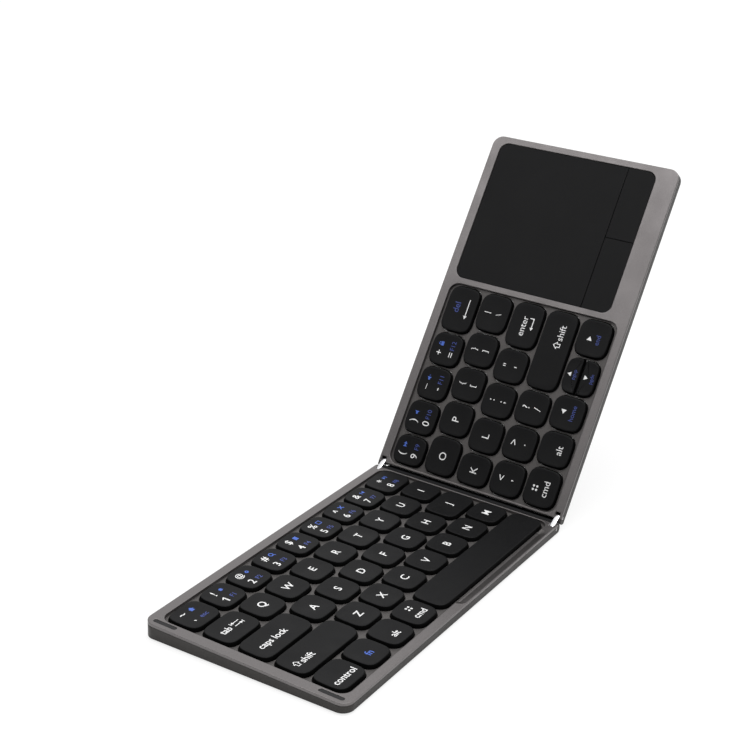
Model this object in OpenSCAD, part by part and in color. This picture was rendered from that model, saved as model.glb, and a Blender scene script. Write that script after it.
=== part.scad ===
// Folding keyboard with a touchpad: two wedge-shaped metal halves on a double-pivot hinge.
// Millimetres, +Z up. The left half lies on the desk, the right half stands folded up from it.
// The origin is the centre of the lying half's underside. +X runs from the outer end to the
// hinge, and +Y from the space bar to the number row.
//
// Each half is drawn in its own deck frame: z = 0 is the plane of the metal rim, y runs from
// the front edge to the back edge, and s runs from the hinge lip (0) to the outer end.
// The link frame has its origin at the left pivot, and x runs to the right pivot.

/* [Case] */
// Length of each half, from the hinge lip to the outer end
half_l = 169; // [168:0.5:174]
// Depth of each half, from the space bar side to the number row side
half_w = 98; // [97:0.5:103]
// Thickness of a half along its front edge, without the feet
front_h = 4.4; // [4.4:0.1:5.4]
// Thickness of a half along its back edge, without the feet
back_h = 7; // [6.9:0.1:8.5]
// Thickness of the top cover's rim, down to the seam
cover_h = 1.35; // [1.3:0.05:1.4]
// Side walls of the bottom cover
wall = 1.2; // [1:0.1:1.3]
// Bottom plate of the bottom cover
base_t = 0.8; // [0.7:0.05:0.85]
// Radius of the outer corners, seen from above
corner_r = 5; // [3:0.5:7]

/* [Deck] */
// Rim between the front edge and the key pocket
rim_front = 4.2; // [4:0.1:5]
// Rim between the key pocket and the back edge
rim_back = 4.6; // [4.4:0.1:5.4]
// Rim between the key pocket and the outer end of the left half
rim_end = 4.7; // [4.4:0.1:6]
// Narrow lip along the hinge side of both key pockets
hinge_lip = 1; // [0.9:0.05:1.2]
// Radius of the pocket corners
pocket_r = 4.8; // [4:0.1:5.5]
// Thickness of the floor between the keys
floor_t = 0.45; // [0.4:0.05:0.5]
// Width of the ledge that carries the key plate, round each pocket
ledge = 0.7; // [0.6:0.05:0.8]

/* [Keys] */
// Spacing of the keys along a row, and of the rows
key_pitch = 17.5; // [17:0.1:17.8]
// Space between the skirts of two keys
key_gap = 1; // [0.9:0.05:1.3]
// Space between the pocket wall and the first key's cell in a row
row_margin = 0.25; // [0.2:0.05:0.5]
// Space between the pocket wall and the cells of the front and back rows
row_side = 0.85; // [0.6:0.05:1]
// How far the key tops stand above the rim
key_proud = 0.5; // [0.3:0.05:0.7]
// Height of a keycap, from its skirt to its top
cap_h = 2.2; // [2:0.05:2.3]
// How much narrower the top of a keycap is than its skirt, on each side
cap_taper = 0.65; // [0.4:0.05:0.8]
// Corner radius of a keycap's skirt
cap_r = 4.9; // [4:0.1:5.2]
// Thickness of a keycap's top
cap_top_t = 0.8; // [0.6:0.05:0.9]
// Thickness of a keycap's skirt
cap_wall = 0.9; // [0.8:0.05:1.1]
// Depth of the hollow in a keycap's top
dish = 0.2; // [0.1:0.05:0.3]
// How far a key travels
key_travel = 1.2; // [1:0.05:1.25]
// Clearance between a keycap and its opening in the floor
cap_clear = 0.25; // [0.2:0.05:0.3]
// Thickness of the plate that the keys stand on
plate_t = 0.4; // [0.3:0.05:0.4]

/* [Touchpad] */
// Length of the touchpad recess
touch_l = 70.8; // [68:0.2:72]
// Lip between the touchpad recess and the outer end of the right half
touch_lip = 1.4; // [1.35:0.05:1.6]
// Bar of the rim between the right key pocket and the touchpad
touch_bar = 2.9; // [2.4:0.1:3.2]
// Front rim beside the touchpad
touch_front = 10.7; // [9:0.1:12]
// Depth of the strip with the two buttons
button_w = 14.6; // [12:0.1:16]
// Radius of the touchpad's corners
touch_r = 4.5; // [3.5:0.1:5]
// How far the touchpad lies below the rim
touch_sink = 0.25; // [0.15:0.05:0.3]
// Clearance round the touchpad and its buttons
touch_clear = 0.15; // [0.1:0.05:0.2]
// Thickness of a touchpad button
button_t = 0.7; // [0.6:0.05:0.75]
// How far a touchpad button travels
button_travel = 0.3; // [0.2:0.05:0.3]

/* [Hinge] */
// How far the right half stands folded up from flat, in degrees
fold = 55.3; // [0:0.1:180]
// Distance between the two rims when the keyboard is closed
closed_gap = 2.1; // [1.9:0.1:2.6]
// Depth of the pivots below the rim
pin_z = 2.25; // [2.2:0.05:2.3]
// Distance of the pivots from the hinge lip
pin_in = 0.9; // [0.85:0.05:1]
// Radius of the hinge pins
pin_r = 0.75; // [0.6:0.05:0.8]
// Clearance of the pins in the ears
pin_clear = 0.05; // [0.03:0.01:0.08]
// Radius of the outer ears about the pins
ear_r = 2.9; // [2.6:0.05:2.95]
// Thickness of the outer ears
ear_t = 1.2; // [1:0.05:1.3]
// Thickness of the link plates
link_t = 2; // [1.6:0.05:2]
// Radius of the link plates about the pins
link_r = 1.5; // [1.3:0.05:1.55]
// Clearance between a link plate and the ears
link_clear = 0.15; // [0.1:0.05:0.2]
// Thickness of the inner ears
inner_ear_t = 0.9; // [0.8:0.05:1]

/* [Inside and underside] */
// Length of the rubber foot strips
foot_l = 150; // [120:1:155]
// Width of the rubber foot strips
foot_w = 4; // [3:0.5:6]
// How far the foot strips stand out
foot_h = 0.8; // [0.5:0.1:1.2]
// Depth of the groove that holds a foot strip
foot_groove = 0.3; // [0.2:0.05:0.35]
// Distance of a foot strip's middle line from the edge of the half
foot_in = 9; // [7:0.5:19]
// Radius of the screw shanks
screw_r = 0.6; // [0.5:0.05:0.65]
// Radius of the screw heads
screw_head_r = 1.05; // [0.9:0.05:1.15]
// Distance of the outer screws from each end of a half
screw_in = 14; // [10:0.5:30]
// Length of the battery
battery_l = 90; // [60:1:110]
// Width of the battery
battery_w = 26; // [18:0.5:27]
// Thickness of the battery
battery_t = 1.8; // [1.2:0.1:1.8]
// Distance of the flat cable that closes the hinge gap from the edges of the halves
flex_edge = 6; // [5.8:0.1:40]
// Length of the bumper pads in the left end rim
bumper_l = 11.5; // [6:0.5:16]
// Width of the bumper pads
bumper_w = 2; // [1.6:0.1:2.4]

/* [Hidden] */
$fn = 48;
eps = 0.01;
wedge_a = atan((back_h - front_h) / half_w);
mid_h = (front_h + back_h) / 2;
pin_c = pin_z + closed_gap / 2;
floor_z = -cover_h - floor_t;
cap_z = key_proud - cap_h;
plate_clear = 0.1;
plate_z = cap_z - key_travel - plate_clear;
cap_under = key_proud - dish - cap_top_t - 0.05;
lever_l = 9;
lever_w = 9.2;
lever_r = 0.35;
lever_gap = 0.3;
lever_clear = 0.4;
dome_r = 2.6;
dome_top_r = 1.5;
touch_z = -touch_sink;
pocket_w = half_w - rim_front - rim_back;
outer_row = (pocket_w - 2 * row_side - 3 * key_pitch) / 2;
row_depths = [outer_row, key_pitch, key_pitch, key_pitch, outer_row];
bar_margin = row_margin + 0.2;
left_end = half_l - rim_end;
right_end = half_l - touch_lip - touch_l - touch_bar;
touch_s0 = right_end + touch_bar;
touch_s1 = half_l - touch_lip;
touch_y1 = half_w - rim_back;
block_l = 4.2;
block_w = ear_t + link_t + 2 * link_clear + inner_ear_t;
link_y = ear_t + link_clear;
inner_ear_y = block_w - inner_ear_t;
inner_ear_r = 1.6;
spine_clear = 0.27;
spine_drop = 1.45;
spine_low = 2.05;
spine_neck = 1.2;
spine_foot = pin_c - pin_in - 0.5;
foot_span = half_w - 2 * foot_in;
flex_w = half_w - 2 * flex_edge;
spine_top = 0.4;
screw_y = (wall + rim_front - ledge) / 2;
screw_y_back = half_w - (wall + rim_back - ledge) / 2;
screw_s = [screw_in, half_l / 2, half_l - screw_in];
screw_sink = 0.15;
screw_head_t = 0.35;
boss_r = 1.05;
battery_s = half_l / 2;
battery_y = half_w - rim_back - 1.2 - battery_w;
board_t = 0.7;
board_edge = 3;
board_end = 9;
// Chips under the controller board: place from its front corner, then length, width, height
chips = [[11, 26.3, 9, 9, 1], [31, 41.3, 6, 5, 0.9], [41, 16.3, 5, 5, 0.8]];
window_in = 22;
window_l = 24;
window_w = 20;
window_shift = 2;
window_r = 2;
socket_in = 32;
socket_s = touch_s0 + socket_in;
socket_w = 8.94;
socket_h = 3.2;
socket_l = 7.3;
socket_t = 0.3;
socket_z = floor_z - board_t;
magnet_l = 12;
magnet_t = 1.4;
magnet_in = 30;
magnet_y = [magnet_in, half_w - magnet_in - magnet_l];
flex_t = 0.2;
flex_z = plate_z - plate_t - 0.05 - flex_t / 2;
bumper_y = 3.3;

// Widths of the keys in key pitches, front row first, counted from the outer end on the
// left half and from the hinge on the right half. The first and last key of a row share
// what the others leave of it, in the proportion of their widths.
left_rows = [
    [1.12, 1, 1, 1, 5.18],
    [2.30, 1, 1, 1, 1, 1, 1, 1],
    [1.93, 1, 1, 1, 1, 1, 1, 1.37],
    [1.31, 1, 1, 1, 1, 1, 1, 1, 0.99],
    [1.11, 1, 1, 1, 1, 1, 1, 1, 1.19]
];
right_rows = [
    [1.12, 1, 1, 1.06, 1.09],
    [1, 1, 1, 2.27],
    [0.93, 1, 1, 1, 1.34],
    [1.13, 1, 1, 1, 1.14],
    [0.90, 1, 1, 1, 1.37]
];
// The node of each key. Keys with the same name share a node as separate solids.
left_names = [
    ["left_modifier_keys", "left_modifier_keys", "left_modifier_keys", "left_modifier_keys",
     "space_bar"],
    ["left_shift_key", "key_z", "key_x", "key_c", "key_v", "key_b", "key_n", "key_m"],
    ["left_modifier_keys", "key_a", "key_s", "key_d", "key_f", "key_g", "key_h", "key_j"],
    ["left_modifier_keys", "key_q", "key_w", "key_e", "key_r", "key_t", "key_y", "key_u",
     "key_i"],
    [for (i = [0:8]) "left_number_keys"]
];
right_names = [
    [for (i = [0:4]) "navigation_keys"],
    ["symbol_keys", "symbol_keys", "symbol_keys", "right_shift_key"],
    ["key_k", "key_l", "symbol_keys", "symbol_keys", "enter_key"],
    ["key_o", "key_p", "symbol_keys", "symbol_keys", "symbol_keys"],
    ["symbol_keys", "symbol_keys", "symbol_keys", "symbol_keys", "delete_key"]
];
// The cell of the right half's front row that holds two keys of half the depth
split_row = 0;
split_key = 3;

LEFT_KEYS = concat(
    [for (c = "abcdefghijmnqrstuvwxyz") str("key_", c)],
    ["left_number_keys", "left_modifier_keys", "left_shift_key", "space_bar"]);
RIGHT_KEYS = concat(
    [for (c = "klop") str("key_", c)],
    ["symbol_keys", "right_shift_key", "enter_key", "delete_key", "navigation_keys"]);
HARDWARE = [
    "left_top_cover", "left_bottom_cover", "right_top_cover", "right_bottom_cover",
    "left_key_plate", "right_key_plate", "left_scissors", "right_scissors",
    "touchpad", "touchpad_left_button", "touchpad_right_button",
    "hinge_links", "hinge_pins", "hinge_spine", "flex_cable",
    "battery", "controller_board", "charging_socket", "end_bumpers",
    "left_feet", "right_feet", "left_magnets", "right_magnets", "left_screws", "right_screws"
];

// ---- frames -------------------------------------------------------------------------

// Deck frame of the lying half, with x from the outer end to the hinge lip
module left_deck()
    rotate([wedge_a, 0, 0]) translate([-half_l / 2, -half_w / 2, mid_h]) children();

// The same deck, counted from the hinge lip
module left_half()
    left_deck() translate([half_l, 0, 0]) mirror([1, 0, 0]) children();

module link_frame()
    left_deck() translate([half_l - pin_in, 0, -pin_z]) rotate([0, -fold / 2, 0]) children();

module right_half()
    link_frame() translate([2 * pin_c, 0, 0]) rotate([0, -fold / 2, 0])
        translate([-pin_in, 0, pin_z]) children();

// Frame on the underside of a half: z is square to it, y starts at its middle
module underside()
    translate([0, half_w / 2, -mid_h]) rotate([-wedge_a, 0, 0]) children();

// Draws its children at the front and, mirrored, at the back edge
module both_edges() {
    children();
    translate([0, half_w, 0]) mirror([0, 1, 0]) children();
}

// ---- shared shapes ------------------------------------------------------------------

module round_rect(x0, y0, x1, y1, r) {
    translate([x0 + r, y0]) square([x1 - x0 - 2 * r, y1 - y0]);
    translate([x0, y0 + r]) square([x1 - x0, y1 - y0 - 2 * r]);
    for (x = [x0 + r, x1 - r], y = [y0 + r, y1 - r]) translate([x, y]) circle(r);
}

// Outline of a half, drawn in by the given amounts; only the outer corners are round
module half_plan(hinge_in = 0, inset = 0) {
    r = corner_r - inset;
    x1 = half_l - inset;
    translate([hinge_in, inset]) square([x1 - r - hinge_in, half_w - 2 * inset]);
    translate([hinge_in, inset + r]) square([x1 - hinge_in, half_w - 2 * inset - 2 * r]);
    for (y = [inset + r, half_w - inset - r]) translate([x1 - r, y]) circle(r);
}

// Prism along s whose underside slopes from the front to the back
module wedge(s0, s1, top, lift = 0)
    translate([s0, 0, 0]) rotate([90, 0, 90]) linear_extrude(s1 - s0)
        polygon([[-1, top], [half_w + 1, top],
            [half_w + 1, lift - back_h - tan(wedge_a)], [-1, lift - front_h + tan(wedge_a)]]);

// Height of the inside of the bottom plate at a distance y from the front edge
function base_z(y) = base_t - front_h - y * tan(wedge_a);

function sum(v, n) = n <= 0 ? 0 : v[n - 1] + sum(v, n - 1);
function row_y(r) = rim_front + row_side + sum(row_depths, r) + row_depths[r] / 2;

// Ends of key i in a row of key widths, from one end of the row to the other. The first
// key's width is rounded to a hundredth.
function cell(widths, i, start, end) =
    let (last = len(widths) - 1, middle = sum(widths, last) - widths[0],
        share = (end - start - key_pitch * middle) / (widths[0] + widths[last]),
        first = round(100 * share * widths[0]) / 100,
        low = i == 0 ? start : start + first + key_pitch * (sum(widths, i) - widths[0]))
    [low, i == last ? end : i == 0 ? start + first : low + widths[i] * key_pitch];
// Key cells of each half, in hinge distance s: [low s, high s]
function left_cell(r, i) =
    let (c = cell(left_rows[r], i, rim_end + row_margin, half_l - hinge_lip - row_margin))
    [half_l - c[1], half_l - c[0]];
function right_cell(r, i) =
    cell(right_rows[r], i, hinge_lip + row_margin, right_end - bar_margin);
// Corner radius of a keycap's skirt, kept within a narrow key
function skirt_r(w, d) = min(cap_r, w / 2 - 0.1, d / 2 - 0.1);

// ---- covers -------------------------------------------------------------------------

module pocket_plan(end, grow = 0)
    round_rect(hinge_lip - grow, rim_front - grow, end + grow, half_w - rim_back + grow,
        pocket_r + grow);

module touch_plan(grow = 0, far_grow = 0)
    round_rect(touch_s0 - grow, touch_front - grow, touch_s1 + far_grow, touch_y1 + grow,
        touch_r + (grow + far_grow) / 2);

module key_opening(c, r) {
    w = c[1] - c[0] - key_gap;
    d = row_depths[r] - key_gap;
    translate([(c[0] + c[1]) / 2, row_y(r)]) round_rect(-w / 2 - cap_clear, -d / 2 - cap_clear,
        w / 2 + cap_clear, d / 2 + cap_clear, skirt_r(w, d) + cap_clear);
}

module left_openings()
    for (r = [0:4], i = [0:len(left_rows[r]) - 1]) key_opening(left_cell(r, i), r);

module right_openings()
    for (r = [0:4], i = [0:len(right_rows[r]) - 1]) key_opening(right_cell(r, i), r);

// Slot in which a link plate swings, open to the top and to the hinge side
module link_notch() {
    low = pin_z + link_r + 0.2;
    translate([-pin_c, ear_t, -low])
        cube([pin_c + pin_in + link_r + 0.5, link_t + 2 * link_clear, low + 1]);
}

module hinge_corner(grow = 0)
    translate([-grow, -1, -back_h]) cube([block_l + grow, block_w + 1 + grow, back_h - cover_h]);

module screw_places()
    for (s = screw_s, y = [screw_y, screw_y_back]) translate([s, y, 0]) children();

// Everything of a top cover but its openings: rim, floor, plate ledge and screw bosses.
// The floor reaches the hinge side and stops short of the hinge corners.
module top_blank(end) {
    difference() {
        translate([0, 0, -cover_h]) linear_extrude(cover_h) half_plan();
        translate([0, 0, -cover_h - 1]) linear_extrude(cover_h + 2) pocket_plan(end);
    }
    difference() {
        union() {
            translate([0, 0, floor_z]) linear_extrude(floor_t) floor_plan(end);
            translate([0, 0, plate_z]) linear_extrude(floor_z - plate_z) difference() {
                floor_plan(end);
                pocket_plan(end);
                translate([-1, 0]) square([block_l + 1, half_w]);
            }
        }
        both_edges() hinge_corner(0.1);
    }
    for (s = screw_s) {
        screw_boss(s, screw_y);
        screw_boss(s, screw_y_back);
    }
}

module floor_plan(end, grow = 0) {
    pocket_plan(end, ledge + grow);
    translate([0, rim_front + pocket_r]) square([pocket_r, pocket_w - 2 * pocket_r]);
    translate([0, rim_front - ledge - grow])
        square([pocket_r, pocket_w + 2 * ledge + 2 * grow]);
}

module screw_boss(s, y) {
    low = base_z(y - boss_r) + 0.05;
    translate([s, y, low]) cylinder(r = boss_r, h = -cover_h - low);
}

module pilot_holes()
    screw_places() translate([0, 0, -back_h]) cylinder(r = screw_r + 0.02, h = back_h - cover_h);

module left_top_cover() color("#7b7674") left_half() difference() {
    top_blank(left_end);
    translate([0, 0, floor_z - 1]) linear_extrude(floor_t + 1.5) left_openings();
    both_edges() link_notch();
    both_edges() translate([0, 0, -bumper_depth]) linear_extrude(bumper_depth + 1) bumper_plan();
    pilot_holes();
}

module right_top_cover() color("#8a8486") right_half() difference() {
    union() {
        difference() {
            top_blank(right_end);
            translate([0, 0, -cover_h - 1]) linear_extrude(cover_h + 2) touch_plan();
        }
        translate([0, 0, floor_z]) linear_extrude(floor_t) touch_plan(ledge, 0.15);
    }
    translate([0, 0, floor_z - 1]) linear_extrude(floor_t + 1.5) right_openings();
    translate([0, 0, floor_z - 1]) linear_extrude(floor_t + 1.5) touch_window();
    for (s = tact_s) translate([s, tact_y, floor_z - 1]) cylinder(r = tact_hole_r, h = 3);
    both_edges() link_notch();
    pilot_holes();
}

// Opening in the floor under the touchpad for its connector
module touch_window()
    translate([touch_s0 + window_in, (half_w - window_w) / 2 + window_shift])
        round_rect(0, 0, window_l, window_w, window_r);

// Round ear about a pin, kept below the seam where it passes under the top cover
module ear(y0, t, r, top)
    difference() {
        translate([pin_in, y0 + t, -pin_z]) rotate([90, 0, 0]) cylinder(r = r, h = t);
        translate([0, y0 - 1, -cover_h]) cube([2 * ear_r, t + 2, 2 * ear_r]);
        translate([-2 * ear_r, y0 - 1, top]) cube([3 * ear_r, t + 2, 2 * ear_r]);
    }

module bottom_cover() {
    difference() {
        intersection() {
            union() {
                translate([0, 0, -2 * back_h]) linear_extrude(2 * back_h - cover_h) half_plan();
                both_edges() ear(0, ear_t, ear_r, -0.35);
                both_edges() ear(inner_ear_y, inner_ear_t, inner_ear_r, -0.35);
            }
            wedge(-2 * ear_r, half_l + 1, 1);
        }
        difference() {
            intersection() {
                translate([0, 0, -2 * back_h]) linear_extrude(2 * back_h)
                    half_plan(hinge_lip, wall);
                wedge(0, half_l, 1, base_t);
            }
            both_edges() hinge_corner();
        }
        both_edges() link_notch();
        both_edges() pin_bore();
        translate([-1, flex_edge - 1, flex_z - 0.3]) cube([hinge_lip + 2, flex_w + 2, 0.6]);
        screw_places() translate([0, 0, -back_h - 1]) cylinder(r = screw_r + 0.1, h = back_h);
        for (y = [screw_y, screw_y_back], s = screw_s)
            translate([s, y, base_z(y) - base_t - 1])
                cylinder(r = screw_head_r + 0.1, h = 1 + screw_sink + screw_head_t + 0.05);
        underside() for (y = [-1, 1]) translate([0, y * foot_span / 2, -1])
            linear_extrude(1 + foot_groove) foot_plan(0.1);
    }
}

module pin_bore()
    translate([pin_in, block_w + 1, -pin_z]) rotate([90, 0, 0])
        cylinder(r = pin_r + pin_clear, h = block_w + 2);

module left_bottom_cover() color("#4b4947") left_half() difference() {
    bottom_cover();
    floor_room(left_end);
}

module right_bottom_cover() color("#55504f") right_half() difference() {
    bottom_cover();
    floor_room(right_end);
    translate([0, 0, floor_z - 0.05]) linear_extrude(1) touch_plan(ledge + 0.05, 0.2);
    socket_opening();
}

// Room for the top cover's floor in the walls of the bottom cover
module floor_room(end)
    difference() {
        translate([-1, 0, floor_z - 0.05]) linear_extrude(1) translate([1, 0])
            union() {
                floor_plan(end, 0.05);
                translate([-1, rim_front - ledge - 0.05])
                    square([1 + eps, pocket_w + 2 * ledge + 0.1]);
            }
        both_edges() hinge_corner();
    }

// ---- keys ---------------------------------------------------------------------------

// Keycap of width w and depth d, with its top at z = 0 and its middle at the origin:
// round-cornered, narrower at the top, hollow below and dished on top
module keycap(w, d) {
    t = cap_taper;
    wide = w > 1.3 * d;
    across = wide ? d : w;
    dish_r = across * across / 8 / dish;
    r = skirt_r(w, d);
    difference() {
        intersection() {
            translate([0, 0, -cap_h]) linear_extrude(cap_h)
                round_rect(-w / 2, -d / 2, w / 2, d / 2, r);
            translate([0, d, 0]) rotate([90, 0, 0]) linear_extrude(2 * d)
                polygon([[-w / 2, -cap_h], [w / 2, -cap_h], [w / 2 - t, 0], [t - w / 2, 0]]);
            translate([-w, 0, 0]) rotate([90, 0, 90]) linear_extrude(2 * w)
                polygon([[-d / 2, -cap_h], [d / 2, -cap_h], [d / 2 - t, 0], [t - d / 2, 0]]);
        }
        translate([0, 0, dish_r - dish]) rotate([0, 90, wide ? 0 : 90]) translate([0, 0, -w])
            cylinder(r = dish_r, h = 2 * w, $fn = 360);
        h = w / 2 - cap_taper - cap_wall;
        k = d / 2 - cap_taper - cap_wall;
        translate([0, 0, -cap_h - 1]) linear_extrude(1 + cap_h - dish - cap_top_t)
            round_rect(-h, -k, h, k, r - cap_taper - cap_wall);
    }
}

module key_at(c, r, split = false) {
    w = c[1] - c[0] - key_gap;
    d = row_depths[r] - key_gap;
    translate([(c[0] + c[1]) / 2, row_y(r), key_proud])
        if (split) split_cap(w, d);
        else keycap(w, d);
}

// Two keys of half the depth that share one cell
module split_cap(w, d) {
    gap = 0.6;
    for (side = [-1, 1]) difference() {
        intersection() {
            translate([0, 0, -cap_h]) linear_extrude(cap_h)
                round_rect(-w / 2, -d / 2, w / 2, d / 2, skirt_r(w, d));
            translate([0, d, 0]) rotate([90, 0, 0]) linear_extrude(2 * d) polygon([
                [-w / 2, -cap_h], [w / 2, -cap_h], [w / 2 - cap_taper, 0], [cap_taper - w / 2, 0]]);
            translate([-w, 0, 0]) rotate([90, 0, 90]) linear_extrude(2 * w)
                polygon([[side * gap / 2, -cap_h], [side * d / 2, -cap_h],
                    [side * (d / 2 - cap_taper), 0], [side * gap / 2, 0]]);
        }
        h = w / 2 - cap_taper - cap_wall;
        k = d / 4 - cap_wall;
        translate([-h, side * d / 4 - k - side * cap_taper / 2, -cap_h - 1])
            cube([2 * h, 2 * k - cap_taper, 1 + cap_h - dish - cap_top_t]);
    }
}

module left_keys(name) color("#1d1d1e") left_half()
    for (r = [0:4], i = [0:len(left_rows[r]) - 1])
        if (left_names[r][i] == name) key_at(left_cell(r, i), r);

module right_keys(name) color("#1d1d1e") right_half()
    for (r = [0:4], i = [0:len(right_rows[r]) - 1])
        if (right_names[r][i] == name)
            key_at(right_cell(r, i), r, r == split_row && i == split_key);

// Steel plate under the keys, with the contact sheet on it
module key_plate(end) {
    translate([0, 0, plate_z - plate_t]) linear_extrude(plate_t) difference() {
        pocket_plan(end, ledge - 0.1);
        translate([-1, 0]) square([1 + hinge_lip + 0.15, half_w]);
        both_ends() translate([-1, -1]) square([block_l + 1.15, block_w + 1.15]);
    }
}

module both_ends() {
    children();
    translate([0, half_w]) mirror([0, 1]) children();
}

module left_key_plate() color("#9a9a98") left_half() key_plate(left_end);
module right_key_plate() color("#9a9a98") right_half() key_plate(right_end);

// One key's two crossed levers, standing on the plate and reaching up into the hollow of
// a cap of width w and depth d
module scissor(w, d) {
    inset = cap_taper + cap_wall + lever_clear;
    span = min(lever_l, w - 2 * inset);
    outer = min(lever_w, d - 2 * inset) / 2;
    low = plate_z + lever_r + 0.05;
    high = cap_under - lever_r;
    a = asin((high - low) / span);
    for (side = [-1, 1]) translate([0, 0, (low + high) / 2]) rotate([0, side * a, 0]) {
        y = side > 0 ? outer : outer - 2 * lever_r - lever_gap;
        for (x = [-span / 2, span / 2]) translate([x, y, 0]) rotate([90, 0, 0])
            cylinder(r = lever_r, h = 2 * y);
        for (e = [-1, 1]) translate([-span / 2, e * (y - lever_r) - lever_r, -lever_r])
            cube([span, 2 * lever_r, 2 * lever_r]);
    }
}

// Hollow rubber dome that pushes the cap up again
module dome()
    translate([0, 0, plate_z]) difference() {
        cylinder(r1 = dome_r, r2 = dome_top_r, h = cap_under - plate_z);
        translate([0, 0, -1]) cylinder(r = dome_top_r - 0.1, h = cap_under - plate_z);
    }

module key_springs(c, r, split = false) {
    translate([(c[0] + c[1]) / 2, row_y(r), 0])
        if (split) for (side = [-1, 1]) translate([0, side * row_depths[r] / 4, 0]) dome();
        else {
            scissor(c[1] - c[0] - key_gap, row_depths[r] - key_gap);
            dome();
        }
}

module left_scissors() color("#e4e2dc") left_half()
    for (r = [0:4], i = [0:len(left_rows[r]) - 1]) key_springs(left_cell(r, i), r);

module right_scissors() color("#e4e2dc") right_half()
    for (r = [0:4], i = [0:len(right_rows[r]) - 1])
        key_springs(right_cell(r, i), r, r == split_row && i == split_key);

// ---- touchpad -----------------------------------------------------------------------

button_y = touch_front + button_w;
touch_mid = (touch_s0 + touch_s1) / 2;
tact_s = [touch_s0 + touch_l / 4, touch_s1 - touch_l / 4];
tact_y = touch_front + button_w / 2;
tact_r = 1.4;
tact_hole_r = 1.8;
tact_h = floor_t - 0.2;
plunger_z = floor_z + tact_h + button_travel + 0.05;

module touch_tile(s0, y0, s1, y1, t)
    translate([0, 0, touch_z - t]) linear_extrude(t) intersection() {
        round_rect(touch_s0 + touch_clear, touch_front + touch_clear, touch_s1 - touch_clear,
            touch_y1 - touch_clear, touch_r - touch_clear);
        translate([s0, y0]) square([s1 - s0, y1 - y0]);
    }

module touchpad() color("#26262a") right_half()
    touch_tile(touch_s0, button_y + touch_clear, touch_s1, touch_y1, cover_h - touch_sink);

module button(s0, s1, tact) {
    touch_tile(s0, touch_front, s1, button_y - touch_clear, button_t);
    translate([tact, tact_y, plunger_z]) cylinder(r = 1, h = touch_z - button_t - plunger_z + eps);
}

module touchpad_left_button() color("#242427") right_half()
    button(touch_s0, touch_mid - touch_clear, tact_s[0]);

module touchpad_right_button() color("#242427") right_half()
    button(touch_mid + touch_clear, touch_s1, tact_s[1]);

// ---- hinge --------------------------------------------------------------------------

// Two plates, each with a round eye on either pin
module hinge_links() color("#e8e8ea") link_frame() both_edges()
    translate([0, link_y + link_t, 0]) rotate([90, 0, 0]) linear_extrude(link_t) difference() {
        union() {
            for (x = [0, 2 * pin_c]) translate([x, 0]) circle(link_r);
            translate([0, -link_r]) square([2 * pin_c, 2 * link_r]);
        }
        for (x = [0, 2 * pin_c]) translate([x, 0]) circle(pin_r + eps);
    }

module hinge_pins() color("#d8d8da") link_frame() both_edges()
    for (x = [0, 2 * pin_c]) translate([x, block_w - 0.1, 0]) rotate([90, 0, 0])
        cylinder(r = pin_r, h = block_w - 0.2);

// Black bar between the halves: a neck that is hollowed on both sides so that the lips
// swing past it, and a broad foot that fills the gap when the keyboard lies flat
module spine_section(neck_only) {
    difference() {
        translate([pin_c - spine_neck, -spine_drop - eps])
            square([2 * spine_neck, spine_drop + spine_top + eps]);
        for (x = [0, 2 * pin_c]) translate([x, 0]) circle(swing_r);
    }
    if (!neck_only) translate([pin_c - spine_foot, -spine_low])
        square([2 * spine_foot, spine_low - spine_drop]);
}

swing_r = norm([pin_in, pin_z]) + spine_clear;

module hinge_spine() color("#161617") link_frame() difference() {
    union() {
        translate([0, half_w - link_y - link_t, 0]) rotate([90, 0, 0])
            linear_extrude(half_w - 2 * (link_y + link_t)) spine_section(true);
        translate([0, half_w - block_w - 0.2, 0]) rotate([90, 0, 0])
            linear_extrude(half_w - 2 * block_w - 0.4) spine_section(false);
    }
    translate([0, flex_edge - 0.5, flex_mid_z - 0.3]) cube([2 * pin_c, flex_w + 1, 0.6]);
}

// Flat cable from half to half, through the spine; its route is bent with the fold
flex_mid_z = -0.5;
flex_in = 12;
function turn(p, a) = [p[0] * cos(a) - p[1] * sin(a), p[0] * sin(a) + p[1] * cos(a)];
function left_point(s, z) = turn([pin_in - s, z + pin_z], -fold / 2);
function right_point(s, z) = [2 * pin_c, 0] + turn([s - pin_in, z + pin_z], fold / 2);
flex_route = [
    left_point(flex_in, flex_z), left_point(-0.3, flex_z), [pin_c - 1, flex_mid_z],
    [pin_c + 1, flex_mid_z], right_point(-0.3, flex_z), right_point(flex_in, flex_z)
];
function flex_side(k) = [for (p = flex_route) p + [0, k * flex_t / 2]];

module flex_cable() color("#161617") link_frame()
    translate([0, flex_edge + flex_w, 0]) rotate([90, 0, 0]) linear_extrude(flex_w)
        polygon(concat(flex_side(-1), [for (i = [5:-1:0]) flex_side(1)[i]]));

// ---- inside and underside -----------------------------------------------------------

module battery() color("#5d6570") left_half()
    translate([battery_s - battery_l / 2, battery_y, plate_z - plate_t - battery_t])
        cube([battery_l, battery_w, battery_t]);

module controller_board() color("#1f5a3a") right_half() {
    y0 = touch_front + board_edge;
    y1 = screw_y_back - boss_r - 0.15;
    translate([touch_s0 + board_edge, y0, floor_z - board_t]) {
        cube([touch_l - board_edge - board_end, y1 - y0, board_t]);
        for (c = chips) translate([c[0], c[1], -c[4]]) cube([c[2], c[3], c[4] + eps]);
    }
    for (s = tact_s) translate([s, tact_y, floor_z - eps]) cylinder(r = tact_r, h = tact_h);
}

module oblong(w, h) {
    r = h / 2;
    for (x = [r - w / 2, w / 2 - r]) translate([x, 0]) circle(r);
    translate([r - w / 2, -r]) square([w - h, h]);
}

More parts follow.
